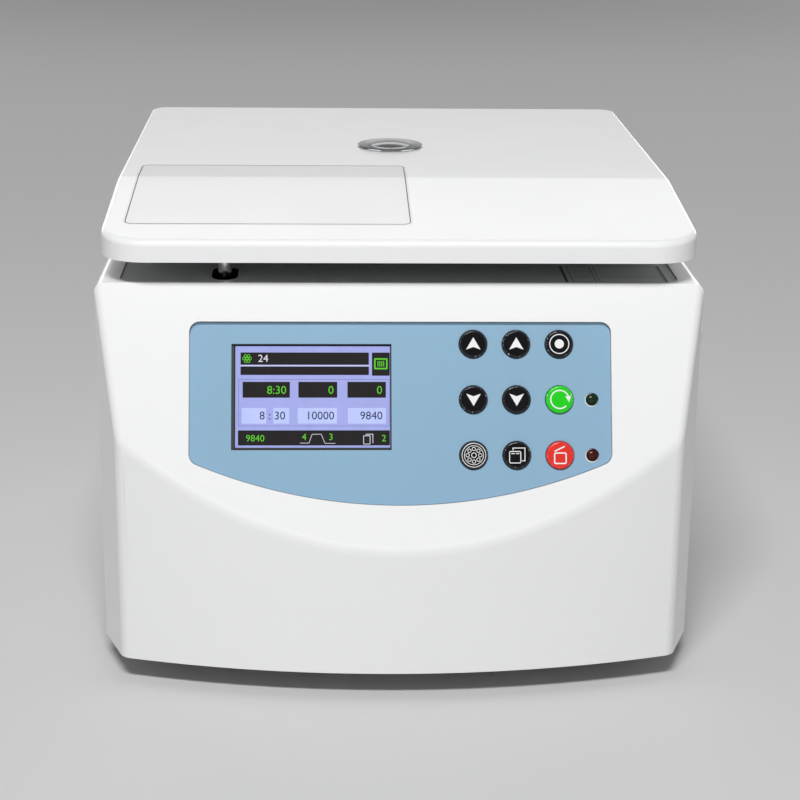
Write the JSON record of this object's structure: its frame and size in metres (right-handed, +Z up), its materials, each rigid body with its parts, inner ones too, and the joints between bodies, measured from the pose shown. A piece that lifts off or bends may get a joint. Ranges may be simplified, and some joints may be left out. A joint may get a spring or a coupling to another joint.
{
  "type": "hematocrit centrifuge",
  "caption": "Bench centrifuge for capillary tubes: hinged lid with sight glass, slotted rotor in a steel chamber, and a sloping keypad and display over a bowed front.",
  "frame": {"origin": "on the table, under the middle of the machine's length and width", "axes": "+Z up, +Y from the control panel to the rear wall, +X to the right of someone facing the panel"},
  "size_m": [0.288, 0.3631, 0.2252],
  "materials": {
    "white_enamel": "satin white moulded housing",
    "grey_enamel": "semi-matt grey paint on sheet",
    "blue_panel": "satin blue panel foil",
    "display_face": "lit lavender display behind a glossy window",
    "black_key": "glossy black domed key",
    "green_key": "glossy green domed key",
    "red_key": "glossy red domed key",
    "green_lamp": "dark green signal lens",
    "red_lamp": "dark red signal lens",
    "black_plastic": "fine matt black moulding",
    "white_plastic": "satin white moulding",
    "clear_plastic": "polished clear acrylic",
    "brushed_steel": "brushed stainless sheet",
    "bright_steel": "bright turned steel",
    "alloy": "fine turned aluminium",
    "zinc_sheet": "zinc coated sheet",
    "black_rubber": "matt black rubber",
    "grey_rubber": "matt grey rubber",
    "circuit_green": "solder mask on board"
  },
  "bodies": {
    "housing": {"casing": "white_enamel", "front_cover": "white_enamel", "deck_plate": "grey_enamel", "panel_face": "blue_panel", "display_frame": "black_plastic", "display_glass": "display_face", "lamp_run": "green_lamp", "lamp_stop": "red_lamp", "key_board": "circuit_green", "control_board": "circuit_green", "power_supply": "zinc_sheet", "base_pan": "zinc_sheet", "foot_front_left": "black_rubber", "foot_front_right": "black_rubber", "foot_rear_left": "black_rubber", "foot_rear_right": "black_rubber", "chamber_bowl": "brushed_steel", "chamber_gasket": "black_rubber", "motor_housing": "alloy", "motor_bracket": "zinc_sheet", "motor_damper_1": "black_rubber", "motor_damper_2": "black_rubber", "motor_damper_3": "black_rubber", "shaft_boot": "black_rubber", "hinge_bracket_left": "brushed_steel", "hinge_bracket_right": "brushed_steel", "hinge_pin_left": "bright_steel", "hinge_pin_right": "bright_steel", "lock_housing": "black_plastic", "lock_solenoid": "black_plastic", "mains_inlet": "black_plastic", "switch_frame": "black_plastic"},
    "lid": {"lid_shell": "white_enamel", "lid_liner": "white_plastic", "lid_disc": "brushed_steel", "sight_tube": "black_plastic", "sight_lens": "clear_plastic", "hinge_leaf_left": "brushed_steel", "hinge_leaf_right": "brushed_steel", "lock_pin": "bright_steel"},
    "rotor": {"motor_shaft": "bright_steel", "rotor_disc": "alloy", "rotor_ring": "grey_rubber"},
    "rotor_cover": {"rotor_cover": "alloy"},
    "rotor_knob": {"rotor_knob": "black_plastic"},
    "key_speed_up": {"key_speed_up": "black_key"},
    "key_time_up": {"key_time_up": "black_key"},
    "key_store": {"key_store": "black_key"},
    "key_speed_down": {"key_speed_down": "black_key"},
    "key_time_down": {"key_time_down": "black_key"},
    "key_start": {"key_start": "green_key"},
    "key_rotor": {"key_rotor": "black_key"},
    "key_program": {"key_program": "black_key"},
    "key_stop_open": {"key_stop_open": "red_key"},
    "lock_latch": {"lock_latch": "bright_steel"},
    "release_plug": {"release_plug": "white_plastic"},
    "power_rocker": {"power_rocker": "black_plastic"},
    "fuse_drawer": {"fuse_drawer": "black_plastic"}
  },
  "joints": [
    {"name": "lid_hinge", "type": "hinge", "parent": "housing", "child": "lid", "pos_m": [0, 0.1712, 0.1965], "axis": [-1, 0, 0], "range_deg": [0, 78]},
    {"name": "rotor_spin", "type": "hinge", "parent": "housing", "child": "rotor", "pos_m": [0, 0.0462, 0.16], "axis": [0, 0, 1], "continuous": true},
    {"name": "rotor_cover_lift", "type": "slide", "parent": "rotor", "child": "rotor_cover", "axis": [0, 0, 1], "range_m": [0, 0.009]},
    {"name": "rotor_knob_turn", "type": "hinge", "parent": "rotor_cover", "child": "rotor_knob", "pos_m": [0, 0.0462, 0.185], "axis": [0, 0, 1], "range_deg": [0, 720]},
    {"name": "key_speed_up_press", "type": "slide", "parent": "housing", "child": "key_speed_up", "axis": [0, 0.9245, -0.3811], "range_m": [0, 0.0008], "stiffness_N_per_m": 600},
    {"name": "key_time_up_press", "type": "slide", "parent": "housing", "child": "key_time_up", "axis": [0, 0.9245, -0.3811], "range_m": [0, 0.0008], "stiffness_N_per_m": 600},
    {"name": "key_store_press", "type": "slide", "parent": "housing", "child": "key_store", "axis": [0, 0.9245, -0.3811], "range_m": [0, 0.0008], "stiffness_N_per_m": 600},
    {"name": "key_speed_down_press", "type": "slide", "parent": "housing", "child": "key_speed_down", "axis": [0, 0.9245, -0.3811], "range_m": [0, 0.0008], "stiffness_N_per_m": 600},
    {"name": "key_time_down_press", "type": "slide", "parent": "housing", "child": "key_time_down", "axis": [0, 0.9245, -0.3811], "range_m": [0, 0.0008], "stiffness_N_per_m": 600},
    {"name": "key_start_press", "type": "slide", "parent": "housing", "child": "key_start", "axis": [0, 0.9245, -0.3811], "range_m": [0, 0.0008], "stiffness_N_per_m": 600},
    {"name": "key_rotor_press", "type": "slide", "parent": "housing", "child": "key_rotor", "axis": [0, 0.9245, -0.3811], "range_m": [0, 0.0008], "stiffness_N_per_m": 600},
    {"name": "key_program_press", "type": "slide", "parent": "housing", "child": "key_program", "axis": [0, 0.9245, -0.3811], "range_m": [0, 0.0008], "stiffness_N_per_m": 600},
    {"name": "key_stop_open_press", "type": "slide", "parent": "housing", "child": "key_stop_open", "axis": [0, 0.9245, -0.3811], "range_m": [0, 0.0008], "stiffness_N_per_m": 600},
    {"name": "lock_latch_slide", "type": "slide", "parent": "housing", "child": "lock_latch", "axis": [-1, 0, 0], "range_m": [0, 0.008]},
    {"name": "release_plug_pull", "type": "slide", "parent": "housing", "child": "release_plug", "axis": [1, 0, 0], "range_m": [0, 0.012]},
    {"name": "power_rocker_tilt", "type": "hinge", "parent": "housing", "child": "power_rocker", "pos_m": [-0.052, 0.1774, 0.056], "axis": [-1, 0, 0], "range_deg": [0, 20]},
    {"name": "fuse_drawer_slide", "type": "slide", "parent": "housing", "child": "fuse_drawer", "axis": [0, 1, 0], "range_m": [0, 0.015]}
  ]
}
